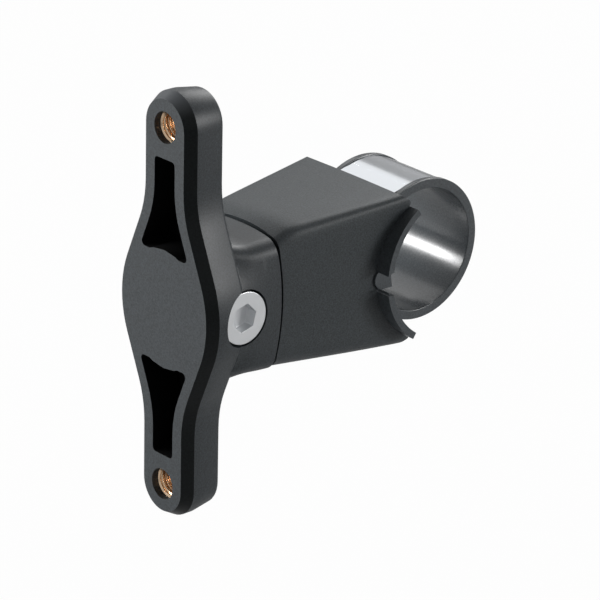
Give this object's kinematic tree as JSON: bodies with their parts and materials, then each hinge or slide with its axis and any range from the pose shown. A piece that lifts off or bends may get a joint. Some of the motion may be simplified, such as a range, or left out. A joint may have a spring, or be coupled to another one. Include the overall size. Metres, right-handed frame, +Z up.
{
  "type": "bottle cage mount",
  "caption": "Dog-bone plate that a bottle cage bolts to, on a tapered block that a steel strap loop clamps to a handlebar or post.",
  "frame": {"origin": "centre of the bar that the strap loop clamps", "axes": "+X along the bar, out of the side that has the screw's head; +Z up the cage plate; the cage plate faces -Y"},
  "size_m": [0.0304, 0.0637, 0.076],
  "materials": {
    "plate_plastic": "fine grain",
    "block_plastic": "fine grain",
    "pad_plastic": "fine grain",
    "liner_plastic": "semi-gloss",
    "strap_steel": "polished",
    "screw_steel": "satin",
    "inner_steel": "plain",
    "brass": "turned"
  },
  "bodies": {
    "base": {"cage_plate": "plate_plastic", "insert_upper": "brass", "insert_lower": "brass", "clamp_block": "block_plastic", "saddle_pad": "pad_plastic"},
    "screw": {"clamp_screw": "screw_steel"},
    "nut": {"wedge_nut": "inner_steel"},
    "loop": {"strap": "strap_steel", "strap_liner": "liner_plastic", "strap_yoke": "inner_steel", "strap_pin_upper": "inner_steel", "strap_pin_lower": "inner_steel"}
  },
  "joints": [
    {"name": "screw_turn", "type": "hinge", "parent": "base", "child": "screw", "pos_m": [0, -0.0421, -0.0014], "axis": [1, 0, 0], "range_deg": [0, 1080]},
    {"name": "nut_slide", "type": "slide", "parent": "base", "child": "nut", "axis": [1, 0, 0], "range_m": [-0.00241, 0]},
    {"name": "loop_slide", "type": "slide", "parent": "base", "child": "loop", "axis": [0, 1, 0], "range_m": [0, 0.000643]}
  ],
  "couplings": [
    {"joint": "screw_turn", "follows": "loop_slide", "rad_per_m": 29311},
    {"joint": "nut_slide", "follows": "loop_slide", "ratio": -3.7321}
  ]
}
